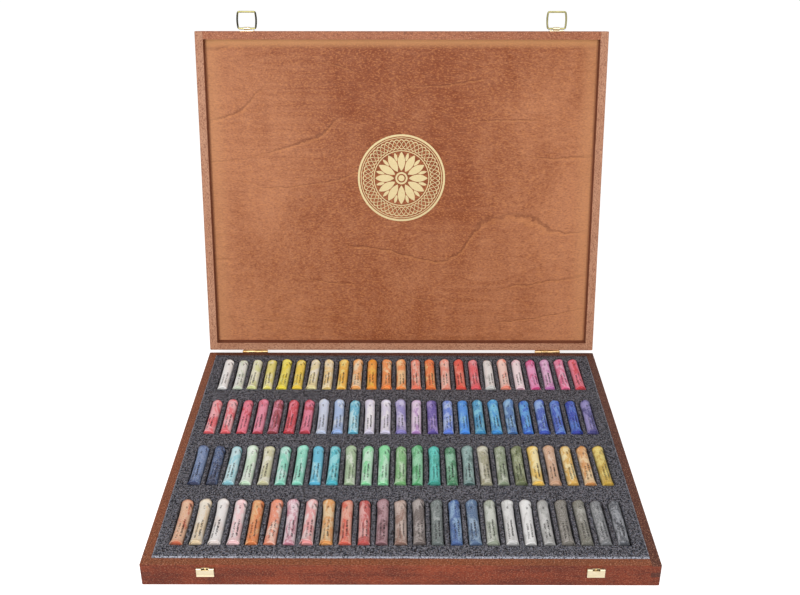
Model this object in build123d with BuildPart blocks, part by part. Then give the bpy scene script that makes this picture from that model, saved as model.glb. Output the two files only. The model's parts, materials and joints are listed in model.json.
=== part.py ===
from build123d import *

import os
from math import asin, atan, cos, degrees, hypot, radians, sin, sqrt, tan

# A hinged wooden case of artists' pastels, standing open.
#
# The base is a shallow tray of four finger-jointed walls and a plywood bottom. It holds a foam pad
# and, on it, a die-cut foam insert with rows of pockets, one for each pastel. The lid is a shallower
# tray of the same joints, carried by two stop hinges on the rear wall. Two wire loops on the lid's
# front rail swing down over hooked keepers on the base.
#
# Lengths are in millimetres. X runs along the case, -Y is the front and +Z is up. The origin is the
# centre of the base's underside. The lid stands at its open stop.

os.makedirs("parts", exist_ok=True)

# ---------------------------------------------------------------- case
case_width = 545.0
case_depth = 440.0
wall = 10.5
base_height = 27.0
lid_height = 18.5
open_angle = 102.0  # between the two rims when the lid rests on its stop
parting_gap = 0.4  # between the two rims when the lid is shut
corner_round = 1.2  # the upright corners
edge_round = 0.5  # the long outer edges

# Corner fingers, counted from the sawn rim: the side walls own the rim and every side_finger.
rim_finger = 1.0
finger_space = 8.5
side_finger = 6.0
last_space = 2.0  # the least that the front and back walls keep at the far edge

# Plywood panels, let into rabbets in the walls.
base_panel_thickness = 4.0
lid_panel_thickness = 4.0
panel_seat = 5.0

# ---------------------------------------------------------------- foam and pastels
foam_gap = 0.3  # all round, inside the walls
foam_above_rim = 1.5
insert_thickness = 10.5
# From the foam's edges to the middles of the outermost columns and rows.
foam_side_margin = 21.7
foam_rear_margin = 51.5
foam_front_margin = 56.8
row_count = 4
group_count = 5
sticks_in_group = 5
stick_diameter = 12.0
stick_length = 72.0
stick_edge = 0.6
paper_thickness = 0.4
paper_length = 70.0
pocket_play = 1.5  # each side of the paper
pocket_end_play = 2.0  # each end of the stick
pocket_corner = 3.0
seat_gap = 0.2  # under a stick

# ---------------------------------------------------------------- hinges
hinge_from_end = 64.5  # from the case's end to the middle of the hinge
hinge_length = 34.4
knuckle_count = 4
knuckle_gap = 0.2
barrel_diameter = 3.8
barrel_stand_off = 0.3  # between the barrel and the wood
pin_diameter = 1.8
pin_clearance = 0.1
pin_head_diameter = 3.0
pin_head_thickness = 0.8
pin_head_round = 0.4
leaf_thickness = 1.2
leaf_height = 12.5
leaf_corner = 1.5
knuckle_clearance = 0.3
stop_clearance = 0.9  # between the barrel and the stop ledge
stop_thickness = 1.3
lug_overreach = 1.7  # how much further than the ledge's drop the lug reaches
ledge_overreach = 0.4  # beyond the lug's corner
stop_gap = 0.1

# Countersunk screws through the hinge leaves.
screw_spacing = 23.0
screw_length = 8.0
screw_diameter = 2.2
screw_head_diameter = 4.2
screw_head_angle = 90.0
screw_slot_width = 0.7
screw_slot_length = 2.8
screw_slot_depth = 0.6

# ---------------------------------------------------------------- catches
catch_from_end = 68.5  # from the case's end to the middle of the catch
wire_diameter = 2.5
loop_width = 27.4  # over the bowed sides
loop_bow = 1.2
loop_reach = 21.2  # from the pivot bar's middle to the far bar's middle
loop_corner = 2.2
pivot_clearance = 0.1
catch_sheet = 0.8
catch_plate_width = 19.5
catch_plate_height = 9.0
catch_plate_corner = 1.0
catch_knuckle_width = 8.3
catch_knuckle_stand_off = 0.4
keeper_width = 18.4
keeper_below_rim = 3.2
keeper_height = 9.7
keeper_depth = 3.0
keeper_fold = 1.2
keeper_lip = 1.6
keeper_flare = 0.6
keeper_back_rise = 2.0  # how much the back plate stops short of the lip
notch_width = 8.0
notch_depth = 2.0
latch_clearance = 0.2
prong_diameter = 1.4
prong_length = 6.0
prong_spacing = 12.0
prong_above_back = 2.5
nail_diameter = 1.4
nail_head_diameter = 2.8
nail_head_thickness = 0.6
nail_head_round = 0.3
nail_length = 8.0
nail_spacing = 14.4
keeper_nail_drop = 2.6

# ---------------------------------------------------------------- worked out from the sizes above
barrel_radius = barrel_diameter / 2
axis_setback = barrel_radius + barrel_stand_off
hinge_axis = (0, case_depth / 2 + axis_setback, base_height + parting_gap / 2)
rear_face = -axis_setback
front_face = -axis_setback - case_depth
rim_rise = parting_gap / 2
knuckle_pitch = hinge_length / knuckle_count
base_cells = range(0, knuckle_count, 2)
lid_cells = range(1, knuckle_count, 2)
stop_cell = lid_cells[0]
notch_rise = barrel_radius + knuckle_clearance
screw_rise = (notch_rise + leaf_height) / 2
knuckle_bore = wire_diameter / 2 + pivot_clearance
catch_knuckle_radius = knuckle_bore + catch_sheet
pivot_stand_off = catch_knuckle_radius + catch_sheet + catch_knuckle_stand_off
keeper_foot = keeper_below_rim + keeper_height
pivot_height = loop_reach - wire_diameter / 2 - parting_gap - keeper_foot - latch_clearance
pad_thickness = base_height + foam_above_rim - base_panel_thickness - insert_thickness
pad_top = base_panel_thickness + pad_thickness
paper_diameter = stick_diameter + 2 * paper_thickness
stick_height = pad_top + seat_gap + paper_diameter / 2
column_count = group_count * sticks_in_group
foam_width = case_width - 2 * (wall + foam_gap)
foam_depth = case_depth - 2 * (wall + foam_gap)
stick_pitch = (foam_width - 2 * foam_side_margin) / (column_count - 1)
row_pitch = (foam_depth - foam_rear_margin - foam_front_margin) / (row_count - 1)
rows_behind_centre = (foam_front_margin - foam_rear_margin) / 2
hinge_offset = case_width / 2 - hinge_from_end
catch_offset = case_width / 2 - catch_from_end
rim_round = min(edge_round, rim_finger / 2)
touching = 0.01  # a distance that counts as none

# Frames with X along the hinge axis. In both, seen with the lid shut, +Y points to the rear and +Z
# up, and the origin is on the axis. The lid's frame has turned back by open_angle.
base_frame = Plane(origin=hinge_axis, x_dir=(1, 0, 0), z_dir=(0, 0, 1))
lid_frame = Plane(
    origin=hinge_axis,
    x_dir=(1, 0, 0),
    z_dir=(0, sin(radians(open_angle)), cos(radians(open_angle))),
)

# The rims, with +Z into the wall's height and +Y to the front, so one function makes both trays.
base_rim = Plane(origin=(0, 0, base_height), x_dir=(1, 0, 0), z_dir=(0, 0, -1))
lid_rim = Plane(
    origin=lid_frame.from_local_coords((0, rear_face - case_depth / 2, rim_rise)),
    x_dir=(-1, 0, 0),
    z_dir=lid_frame.z_dir,
)


def section(frame, x):
    """A plane across the hinge axis at x: its X points to the rear and its Y up, lid shut."""
    return Plane(origin=frame.from_local_coords((x, 0, 0)), x_dir=frame.y_dir, z_dir=frame.x_dir)


def on_rear(frame, x, z, lift=0.0):
    """A plane on the rear face, facing out, lifted off it by lift."""
    origin = frame.from_local_coords((x, rear_face + lift, z))
    return Plane(origin=origin, x_dir=frame.x_dir, z_dir=frame.y_dir)


def on_front(frame, x, z, lift=0.0):
    """A plane on the front face, facing out, lifted off it by lift."""
    origin = frame.from_local_coords((x, front_face - lift, z))
    return Plane(origin=origin, x_dir=frame.x_dir, z_dir=-frame.y_dir)


def export(shape, name):
    """Labels a finished piece and writes it."""
    shape.label = name
    export_step(shape, f"parts/{name}.step")


# ---------------------------------------------------------------- where the fasteners and catches sit
hinge_places = {"left": -hinge_offset, "right": hinge_offset}
catch_places = {"left": -catch_offset, "right": catch_offset}

base_screw_planes = [
    on_rear(base_frame, x + side * screw_spacing / 2, -screw_rise, leaf_thickness)
    for x in hinge_places.values()
    for side in (-1, 1)
]
lid_screw_planes = [
    on_rear(lid_frame, x + side * screw_spacing / 2, screw_rise, leaf_thickness)
    for x in hinge_places.values()
    for side in (-1, 1)
]
plate_nail_planes = [
    on_front(lid_frame, x + side * nail_spacing / 2, rim_rise + pivot_height, catch_sheet)
    for x in catch_places.values()
    for side in (-1, 1)
]
keeper_nail_planes = [
    on_front(base_frame, x, -rim_rise - keeper_below_rim - keeper_nail_drop, catch_sheet)
    for x in catch_places.values()
]
prong_planes = {
    name: [
        on_front(
            base_frame,
            x + side * prong_spacing / 2,
            -rim_rise - keeper_foot + keeper_back_rise + prong_above_back,
        )
        for side in (-1, 1)
    ]
    for name, x in catch_places.items()
}


# ---------------------------------------------------------------- wooden trays
def corner_bands(height):
    """The corner's bands from the rim to the far edge, each (start, end, owned by the side walls)."""
    bands = [(0.0, rim_finger, True)]
    at = rim_finger
    while at + finger_space + side_finger + last_space <= height:
        finger_start = at + finger_space
        bands.append((at, finger_start, False))
        bands.append((finger_start, finger_start + side_finger, True))
        at = finger_start + side_finger
    bands.append((at, height, False))
    return bands


def on_outline(point):
    """Whether a point, in a rim's own coordinates, lies on the case's outer outline."""
    margin = corner_round + touching
    return abs(point.X) > case_width / 2 - margin or abs(point.Y) > case_depth / 2 - margin


def tray_wall(rim, height, panel_thickness, is_side, sign, holes=()):
    """One wall of a tray. sign picks the +X or -X, or the +Y or -Y, of the rim's own directions.

    holes lists (planes, diameter, depth) to drill, each plane lying on the outer face.
    """
    with BuildPart() as built:
        for start, end, corner_is_side in corner_bands(height):
            full = corner_is_side == is_side
            if is_side:
                size = (wall, case_depth if full else case_depth - 2 * wall)
                middle = (sign * (case_width - wall) / 2, 0)
            else:
                size = (case_width if full else case_width - 2 * wall, wall)
                middle = (0, sign * (case_depth - wall) / 2)
            with BuildSketch(rim.offset(start)):
                RectangleRounded(case_width, case_depth, corner_round)
                with Locations(middle):
                    Rectangle(*size, mode=Mode.INTERSECT)
            extrude(amount=end - start)
        with BuildSketch(rim.offset(height - panel_thickness)):
            Rectangle(case_width - 2 * (wall - panel_seat), case_depth - 2 * (wall - panel_seat))
        extrude(amount=panel_thickness, mode=Mode.SUBTRACT)

        def is_outer_edge(edge):
            middle = rim.to_local_coords(edge.center())
            at_end = abs(middle.Z) < touching or abs(middle.Z - height) < touching
            return at_end and on_outline(middle)

        fillet(built.edges().filter_by(is_outer_edge), radius=rim_round)
        for planes, diameter, depth in holes:
            with Locations(*planes):
                Hole(radius=diameter / 2, depth=depth)
    return built.part


def tray_panel(rim, height, thickness):
    """The plywood panel that closes a tray, flush with the walls' far edge."""
    with BuildPart() as built:
        with BuildSketch(rim.offset(height - thickness)):
            Rectangle(case_width - 2 * (wall - panel_seat), case_depth - 2 * (wall - panel_seat))
        extrude(amount=thickness)
    return built.part


def sunk(planes, below):
    """The same planes moved in by below, to where the bare wood begins."""
    return [plane.offset(-below) for plane in planes]


base_screw_holes = (sunk(base_screw_planes, leaf_thickness), screw_diameter, screw_length)
lid_screw_holes = (sunk(lid_screw_planes, leaf_thickness), screw_diameter, screw_length)
plate_nail_holes = (sunk(plate_nail_planes, catch_sheet), nail_diameter, nail_length)
keeper_nail_holes = (sunk(keeper_nail_planes, catch_sheet), nail_diameter, nail_length)
prong_holes = [(planes, prong_diameter, prong_length) for planes in prong_planes.values()]

base = (base_rim, base_height, base_panel_thickness)
export(tray_wall(*base, False, 1, [keeper_nail_holes, *prong_holes]), "base_front_wall")
export(tray_wall(*base, False, -1, [base_screw_holes]), "base_back_wall")
export(tray_wall(*base, True, -1), "base_left_wall")
export(tray_wall(*base, True, 1), "base_right_wall")
export(tray_panel(*base), "base_bottom_panel")

# The lid's rim plane looks from inside out, so its +X is the case's left.
lid = (lid_rim, lid_height, lid_panel_thickness)
export(tray_wall(*lid, False, 1, [plate_nail_holes]), "lid_front_rail")
export(tray_wall(*lid, False, -1, [lid_screw_holes]), "lid_back_rail")
export(tray_wall(*lid, True, 1), "lid_left_rail")
export(tray_wall(*lid, True, -1), "lid_right_rail")
export(tray_panel(*lid), "lid_panel")

# ---------------------------------------------------------------- foam
with BuildPart() as foam_base_pad:
    with BuildSketch(Plane.XY.offset(base_panel_thickness)):
        Rectangle(foam_width, foam_depth)
    extrude(amount=pad_thickness)
export(foam_base_pad.part, "foam_base_pad")

with BuildPart() as foam_insert:
    with BuildSketch(Plane.XY.offset(pad_top)):
        Rectangle(foam_width, foam_depth)
        with Locations((0, rows_behind_centre)):
            with GridLocations(stick_pitch, row_pitch, column_count, row_count):
                RectangleRounded(
                    paper_diameter + 2 * pocket_play,
                    stick_length + 2 * pocket_end_play,
                    pocket_corner,
                    mode=Mode.SUBTRACT,
                )
    extrude(amount=insert_thickness)
export(foam_insert.part, "foam_insert")


# ---------------------------------------------------------------- pastels
def pastel_group(row, group):
    """Neighbouring sticks of one row, each a round of pigment in a paper sleeve.

    Rows count from the rear, groups from the left.
    """
    first = group * sticks_in_group - (column_count - 1) / 2
    row_y = rows_behind_centre + ((row_count - 1) / 2 - row) * row_pitch
    places = [((first + n) * stick_pitch, row_y) for n in range(sticks_in_group)]

    def end_plane(x, y, length):
        return Plane(origin=(x, y - length / 2, stick_height), x_dir=(1, 0, 0), z_dir=(0, 1, 0))

    with BuildPart() as pigment:
        for x, y in places:
            with BuildSketch(end_plane(x, y, stick_length)):
                Circle(stick_diameter / 2)
            extrude(amount=stick_length)
        chamfer(pigment.edges().filter_by(GeomType.CIRCLE), length=stick_edge)
    with BuildPart() as paper:
        for x, y in places:
            with BuildSketch(end_plane(x, y, paper_length)):
                Circle(paper_diameter / 2)
                Circle(stick_diameter / 2, mode=Mode.SUBTRACT)
            extrude(amount=paper_length)
    return Compound(children=[*pigment.part.solids(), *paper.part.solids()])


for row in range(row_count):
    for group in range(group_count):
        export(pastel_group(row, group), f"pastels_row_{row + 1}_group_{group + 1}")


# ---------------------------------------------------------------- hinges
# The lid's knuckle in the stop cell carries the lug, and the base leaf the ledge under it.
ledge_drop = barrel_radius + stop_clearance
lug_reach = ledge_drop + lug_overreach
lug_tip = hypot(lug_reach, stop_thickness / 2)
lug_half_angle = degrees(atan(stop_thickness / 2 / lug_reach))
rest_drop = ledge_drop - stop_gap
rest_angle = lug_half_angle - degrees(asin(rest_drop / lug_tip))
ledge_reach = sqrt(lug_tip**2 - rest_drop**2) + ledge_overreach


def cell_start(centre, cell):
    """Where a knuckle of the hinge centred at centre begins."""
    return centre - hinge_length / 2 + cell * knuckle_pitch + knuckle_gap / 2


def hinge_leaf(frame, centre, up, cells, bore, screw_planes, stop):
    """A leaf on the rear face: a plate, its knuckles in the given cells, and its half of the stop.

    up is +1 for the lid's leaf and -1 for the base's. stop is "lug" or "ledge".
    """
    plate_middle = rear_face + leaf_thickness / 2
    start = centre - hinge_length / 2
    with BuildPart() as built:
        with BuildSketch(section(frame, start)):
            with Locations((plate_middle, up * (notch_rise + leaf_height) / 2)):
                Rectangle(leaf_thickness, leaf_height - notch_rise)
        extrude(amount=hinge_length)

        def is_far_corner(edge):
            middle = frame.to_local_coords(edge.center())
            at_end = abs(abs(middle.X - centre) - hinge_length / 2) < touching
            return at_end and abs(middle.Z - up * leaf_height) < touching

        fillet(built.edges().filter_by(is_far_corner), radius=leaf_corner)
        for cell in cells:
            with BuildSketch(section(frame, cell_start(centre, cell))):
                Circle(barrel_radius)
                with Locations((plate_middle, up * notch_rise / 2)):
                    Rectangle(leaf_thickness, notch_rise)
            extrude(amount=knuckle_pitch - knuckle_gap)
        with BuildSketch(section(frame, cell_start(centre, stop_cell))):
            if stop == "lug":
                with Locations(Location((0, 0), rest_angle + open_angle)):
                    Rectangle(lug_reach, stop_thickness, align=(Align.MIN, Align.CENTER))
            else:
                with Locations((rear_face + leaf_thickness, -ledge_drop)):
                    Rectangle(
                        ledge_reach - rear_face - leaf_thickness,
                        stop_thickness,
                        align=(Align.MIN, Align.MAX),
                    )
        extrude(amount=knuckle_pitch - knuckle_gap)
        with BuildSketch(section(frame, start)):
            Circle(bore / 2)
        extrude(amount=hinge_length, mode=Mode.SUBTRACT)
        with Locations(*screw_planes):
            CounterSinkHole(
                radius=screw_diameter / 2,
                counter_sink_radius=screw_head_diameter / 2,
                depth=leaf_thickness,
                counter_sink_angle=screw_head_angle,
            )
    return built.part


def hinge_pin(centre):
    """A headed pin through all the knuckles of one hinge."""
    start = centre - hinge_length / 2
    with BuildPart() as built:
        with BuildSketch(section(base_frame, start)):
            Circle(pin_diameter / 2)
        extrude(amount=hinge_length)
        for head_start in (start - pin_head_thickness, start + hinge_length):
            with BuildSketch(section(base_frame, head_start)):
                Circle(pin_head_diameter / 2)
            extrude(amount=pin_head_thickness)
        ends = built.faces().filter_by(Axis.X).sort_by(Axis.X)
        fillet([ends[0].edges()[0], ends[-1].edges()[0]], radius=pin_head_round)
    return built.part


def screws(planes):
    """Countersunk screws with a cross recess, each plane on the head's flat top and facing out."""
    head_height = (screw_head_diameter - screw_diameter) / 2 / tan(radians(screw_head_angle / 2))
    with BuildPart() as built:
        for plane in planes:
            with BuildSketch(plane.offset(-leaf_thickness - screw_length)):
                Circle(screw_diameter / 2)
            extrude(amount=leaf_thickness + screw_length)
            with Locations(plane.offset(-head_height / 2)):
                Cone(screw_diameter / 2, screw_head_diameter / 2, head_height)
            with BuildSketch(plane):
                Rectangle(screw_slot_length, screw_slot_width)
                Rectangle(screw_slot_width, screw_slot_length)
            extrude(amount=-screw_slot_depth, mode=Mode.SUBTRACT)
    return built.part


for side, (name, centre) in enumerate(hinge_places.items()):
    pair = slice(2 * side, 2 * side + 2)
    export(
        hinge_leaf(base_frame, centre, -1, base_cells, pin_diameter, base_screw_planes[pair], "ledge"),
        f"hinge_{name}_base_leaf",
    )
    export(
        hinge_leaf(
            lid_frame,
            centre,
            1,
            lid_cells,
            pin_diameter + 2 * pin_clearance,
            lid_screw_planes[pair],
            "lug",
        ),
        f"hinge_{name}_lid_leaf",
    )
    export(hinge_pin(centre), f"hinge_{name}_pin")
export(screws(base_screw_planes), "hinge_base_screws")
export(screws(lid_screw_planes), "hinge_lid_screws")


# ---------------------------------------------------------------- catches
pivot_y = front_face - pivot_stand_off
pivot_z = rim_rise + pivot_height


def catch_plate(centre):
    """The plate on the lid's front rail, with the tab that curls round the loop's pivot bar."""
    with BuildPart() as built:
        with BuildSketch(on_front(lid_frame, centre, pivot_z)):
            RectangleRounded(catch_plate_width, catch_plate_height, catch_plate_corner)
        extrude(amount=catch_sheet)
        with BuildSketch(section(lid_frame, centre - catch_knuckle_width / 2)):
            with Locations((pivot_y, pivot_z)):
                Circle(catch_knuckle_radius)
            with Locations((pivot_y, pivot_z + catch_knuckle_radius)):
                Rectangle(pivot_stand_off, catch_sheet, align=(Align.MIN, Align.MAX))
        extrude(amount=catch_knuckle_width)
        with BuildSketch(section(lid_frame, centre - catch_knuckle_width / 2)):
            with Locations((pivot_y, pivot_z)):
                Circle(knuckle_bore)
        extrude(amount=catch_knuckle_width, mode=Mode.SUBTRACT)
        planes = [p for p in plate_nail_planes if abs(p.origin.X - centre) < catch_plate_width]
        with Locations(*planes):
            Hole(radius=nail_diameter / 2, depth=catch_sheet)
    return built.part


def catch_loop(centre):
    """A closed loop of wire with bowed sides, standing straight out from the front rail."""
    mid_half = (loop_width - wire_diameter) / 2
    end_half = mid_half - loop_bow
    plane = Plane(
        origin=lid_frame.from_local_coords((centre, pivot_y, pivot_z)),
        x_dir=lid_frame.x_dir,
        z_dir=-lid_frame.z_dir,
    )
    with BuildPart() as built:
        with BuildLine(plane) as path:
            Line((-end_half, 0), (end_half, 0))
            ThreePointArc((end_half, 0), (mid_half, loop_reach / 2), (end_half, loop_reach))
            Line((end_half, loop_reach), (-end_half, loop_reach))
            ThreePointArc((-end_half, loop_reach), (-mid_half, loop_reach / 2), (-end_half, 0))
            fillet(path.vertices(), radius=loop_corner)
        wire = path.wires()[0]
        with BuildSketch(Plane(origin=wire @ 0, z_dir=wire % 0)):
            Circle(wire_diameter / 2)
        sweep(path=wire)
    return built.part


def keeper(name, centre):
    """A sheet folded into a hook that opens downward, with a flared lip, a notch and two prongs."""
    top = -rim_rise - keeper_below_rim
    foot = -rim_rise - keeper_foot
    outer = front_face - keeper_depth
    inner = outer + catch_sheet
    back = front_face - catch_sheet
    back_foot = foot + keeper_back_rise
    outline = [
        (front_face, back_foot),
        (front_face, top),
        (outer, top),
        (outer, foot + keeper_lip),
        (outer - keeper_flare, foot),
        (inner - keeper_flare, foot),
        (inner, foot + keeper_lip),
        (inner, top - catch_sheet),
        (back, top - catch_sheet),
        (back, back_foot),
    ]
    with BuildPart() as built:
        with BuildSketch(section(base_frame, centre - keeper_width / 2)):
            with BuildLine():
                Polyline(*outline, close=True)
            make_face()
        extrude(amount=keeper_width)

        def is_fold(edge):
            middle = base_frame.to_local_coords(edge.center())
            return abs(middle.Y - outer) < touching and abs(middle.Z - top) < touching

        fillet(built.edges().filter_by(Axis.X).filter_by(is_fold), radius=keeper_fold)
        with BuildSketch(on_front(base_frame, centre, top - notch_depth / 2, catch_sheet)):
            Rectangle(notch_width, notch_depth)
        extrude(amount=keeper_depth + keeper_flare, mode=Mode.SUBTRACT)
        for plane in prong_planes[name]:
            with BuildSketch(plane):
                Circle(prong_diameter / 2)
            extrude(amount=-prong_length)
        planes = [p for p in keeper_nail_planes if abs(p.origin.X - centre) < keeper_width]
        with Locations(*planes):
            Hole(radius=nail_diameter / 2, depth=catch_sheet)
    return built.part


def nails(planes):
    """Small domed nails, each plane on the metal that the head bears on."""
    with BuildPart() as built:
        for plane in planes:
            with BuildSketch(plane.offset(-catch_sheet - nail_length)):
                Circle(nail_diameter / 2)
            extrude(amount=catch_sheet + nail_length)
            with BuildSketch(plane):
                Circle(nail_head_diameter / 2)
            extrude(amount=nail_head_thickness)
            top = built.faces().sort_by_distance(plane.offset(nail_head_thickness).origin)[0]
            fillet(top.edges(), radius=nail_head_round)
    return built.part


for name, centre in catch_places.items():
    export(catch_plate(centre), f"catch_{name}_plate")
    export(catch_loop(centre), f"catch_{name}_loop")
    export(keeper(name, centre), f"catch_{name}_keeper")
export(nails(plate_nail_planes), "catch_plate_nails")
export(nails(keeper_nail_planes), "catch_keeper_nails")
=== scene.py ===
"""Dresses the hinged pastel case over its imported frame.

The frame brings every hard piece at its real size. This script gives each one its finish, and makes
the soft and hand-made pieces anew: the cut foam, the paper-wrapped sticks of pigment and the foil
ornament in the lid. Lengths are in metres. X runs along the case, -Y is its front and +Z is up.
"""

from __future__ import annotations

import json
import logging
import math
from collections.abc import Mapping, Sequence
from dataclasses import dataclass, field
from enum import Enum

import bpy
import numpy as np
from mathutils import Euler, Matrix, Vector

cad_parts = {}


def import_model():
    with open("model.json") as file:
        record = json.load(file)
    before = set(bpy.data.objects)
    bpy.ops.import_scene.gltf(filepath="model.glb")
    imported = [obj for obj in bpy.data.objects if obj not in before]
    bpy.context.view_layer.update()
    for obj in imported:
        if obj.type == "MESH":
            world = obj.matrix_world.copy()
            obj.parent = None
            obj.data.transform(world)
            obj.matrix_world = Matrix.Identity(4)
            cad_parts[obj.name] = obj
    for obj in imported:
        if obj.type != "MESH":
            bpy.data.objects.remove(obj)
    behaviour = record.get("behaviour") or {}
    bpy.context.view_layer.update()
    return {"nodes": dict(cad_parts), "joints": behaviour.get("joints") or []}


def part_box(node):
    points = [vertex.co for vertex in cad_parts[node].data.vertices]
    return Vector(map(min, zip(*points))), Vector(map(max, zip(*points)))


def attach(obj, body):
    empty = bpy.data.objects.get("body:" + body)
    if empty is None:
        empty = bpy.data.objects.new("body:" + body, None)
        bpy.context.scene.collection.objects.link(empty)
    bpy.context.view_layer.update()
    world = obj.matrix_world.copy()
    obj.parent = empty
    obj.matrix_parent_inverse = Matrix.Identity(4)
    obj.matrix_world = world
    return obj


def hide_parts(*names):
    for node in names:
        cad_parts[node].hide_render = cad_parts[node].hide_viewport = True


log = logging.getLogger("pastel_case")
MM = 0.001
Array = np.ndarray
Colour = tuple[float, float, float, float]


def paint(code: str) -> Colour:
    """Turns a colour written as on screen into the shader's linear values.

    Args:
        code: Six hexadecimal digits, red, green and blue.

    Returns:
        The linear colour, opaque.
    """
    parts = [int(code[i : i + 2], 16) / 255 for i in (0, 2, 4)]
    linear = [p / 12.92 if p <= 0.04045 else ((p + 0.055) / 1.055) ** 2.4 for p in parts]
    return (*linear, 1.0)


# ------------------------------------------------------------------------------------------ shaders
class Field:
    """One number that varies over a surface. Arithmetic on it adds the shader's Math nodes."""

    def __init__(self, shader: Shader, socket: bpy.types.NodeSocket) -> None:
        """Wraps a socket.

        Args:
            shader: The shader that the socket belongs to.
            socket: The output socket with the number.
        """
        self.shader = shader
        self.socket = socket

    def _math(self, operation: str, *terms: Field | float) -> Field:
        """Adds a Math node on the given terms."""
        made = self.shader.node("Math", {"operation": operation}, dict(enumerate(terms)))
        return Field(self.shader, made.outputs[0])

    def __add__(self, other: Field | float) -> Field:
        """The sum."""
        return self._math("ADD", self, other)

    def __sub__(self, other: Field | float) -> Field:
        """The difference."""
        return self._math("SUBTRACT", self, other)

    def __rsub__(self, other: float) -> Field:
        """The difference, from a plain number."""
        return self._math("SUBTRACT", other, self)

    def __mul__(self, other: Field | float) -> Field:
        """The product."""
        return self._math("MULTIPLY", self, other)

    def __abs__(self) -> Field:
        """The size without its sign."""
        return self._math("ABSOLUTE", self)

    __radd__ = __add__
    __rmul__ = __mul__

    def sine(self) -> Field:
        """The sine, in radians."""
        return self._math("SINE", self)

    def at_least(self, other: Field | float) -> Field:
        """The larger of the two."""
        return self._math("MAXIMUM", self, other)

    def step(self, low: float, high: float) -> Field:
        """Rises smoothly from 0 at low to 1 at high, or falls where low is the larger.

        Args:
            low: Where the result is 0.
            high: Where the result is 1.

        Returns:
            The smooth step.
        """
        start, end, first, last = (low, high, 0.0, 1.0) if low < high else (high, low, 1.0, 0.0)
        inputs = {0: self, 1: start, 2: end, 3: first, 4: last}
        made = self.shader.node("MapRange", {"interpolation_type": "SMOOTHSTEP"}, inputs)
        return Field(self.shader, made.outputs[0])


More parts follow.
